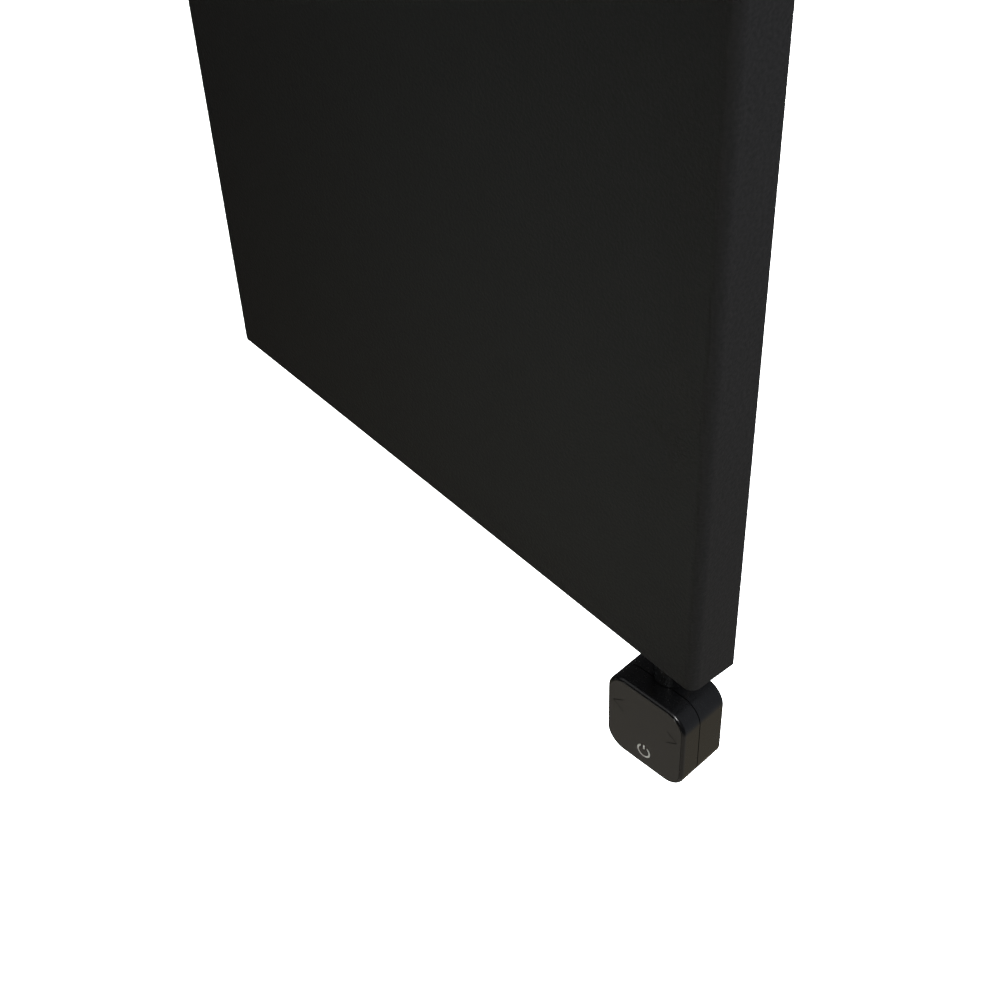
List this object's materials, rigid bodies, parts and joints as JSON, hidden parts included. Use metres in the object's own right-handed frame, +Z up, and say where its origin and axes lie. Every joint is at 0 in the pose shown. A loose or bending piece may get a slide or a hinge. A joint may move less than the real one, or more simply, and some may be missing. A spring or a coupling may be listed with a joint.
{
  "type": "electric radiator",
  "caption": "Wall-hung flat steel panel radiator, matt black, with a liquid-filled tube register, screw-in heating element and a turning touch control head below one corner.",
  "frame": {"origin": "on the wall plane, at the centre of the four bracket screw holes", "axes": "+X to the right seen from the front, +Y into the wall (the panel faces -Y), +Z up"},
  "size_m": [0.4006, 0.0782, 0.8754],
  "materials": {
    "panel_coat": "fine-textured matt black powder coat",
    "bracket_coat": "matt black powder coat",
    "liner_plastic": "natural nylon",
    "plated_brass": "nickel plated",
    "bright_steel": "bright stainless",
    "black_rubber": "matt",
    "head_plastic": "gloss black moulded",
    "face_lens": "gloss black lens",
    "white_window": "white translucent",
    "board_laminate": "green laminate",
    "module_plastic": "moulded component cases"
  },
  "bodies": {
    "wall_brackets": {"wall_bracket_lower_left": "bracket_coat", "wall_bracket_lower_right": "bracket_coat", "wall_bracket_upper_left": "bracket_coat", "wall_bracket_upper_right": "bracket_coat", "bracket_liner_lower_left": "liner_plastic", "bracket_liner_lower_right": "liner_plastic", "bracket_liner_upper_left": "liner_plastic", "bracket_liner_upper_right": "liner_plastic"},
    "radiator": {"front_panel": "panel_coat", "collector_left": "panel_coat", "collector_right": "panel_coat", "cross_tube_01": "panel_coat", "cross_tube_02": "panel_coat", "cross_tube_03": "panel_coat", "cross_tube_04": "panel_coat", "cross_tube_05": "panel_coat", "cross_tube_06": "panel_coat", "cross_tube_07": "panel_coat", "cross_tube_08": "panel_coat", "cross_tube_09": "panel_coat", "cross_tube_10": "panel_coat", "cross_tube_11": "panel_coat", "cross_tube_12": "panel_coat", "socket_bottom_left": "panel_coat", "socket_bottom_right": "panel_coat", "socket_top_left": "panel_coat", "socket_top_right": "panel_coat", "blind_plug_bottom": "plated_brass", "blind_plug_top": "plated_brass", "air_vent_plug": "plated_brass", "plug_gaskets": "black_rubber", "hanger_lug_lower_left": "panel_coat", "hanger_lug_lower_right": "panel_coat", "hanger_lug_upper_left": "panel_coat", "hanger_lug_upper_right": "panel_coat", "element_fitting": "plated_brass", "heating_rod": "bright_steel", "element_gasket": "black_rubber", "sensor_pocket": "bright_steel", "temperature_sensor": "bright_steel", "neck_collar": "head_plastic", "neck_o_ring": "black_rubber", "retaining_ring": "bright_steel"},
    "control_head": {"rear_housing": "head_plastic", "front_cover": "head_plastic", "face_plate": "face_lens", "light_guide": "white_window", "circuit_board": "board_laminate", "indicator_light": "white_window", "touch_pads": "black_rubber", "relay": "module_plastic", "terminal_block": "module_plastic", "capacitor": "module_plastic", "seam_seal": "black_rubber", "housing_screws": "bright_steel", "cable_gland": "black_rubber"},
    "bleed_screw": {"bleed_screw": "plated_brass"}
  },
  "joints": [
    {"name": "lift_off", "type": "slide", "parent": "wall_brackets", "child": "radiator", "axis": [0, 0, 1], "range_m": [0, 0.016]},
    {"name": "head_swivel", "type": "hinge", "parent": "radiator", "child": "control_head", "pos_m": [0.1728, -0.0559, -0.4184], "axis": [0, 0, 1], "range_deg": [-94.4, 85.6]},
    {"name": "bleed_turn", "type": "hinge", "parent": "radiator", "child": "bleed_screw", "pos_m": [0.1728, -0.0559, 0.3905], "axis": [0, 0, 1], "range_deg": [0, 360]}
  ]
}
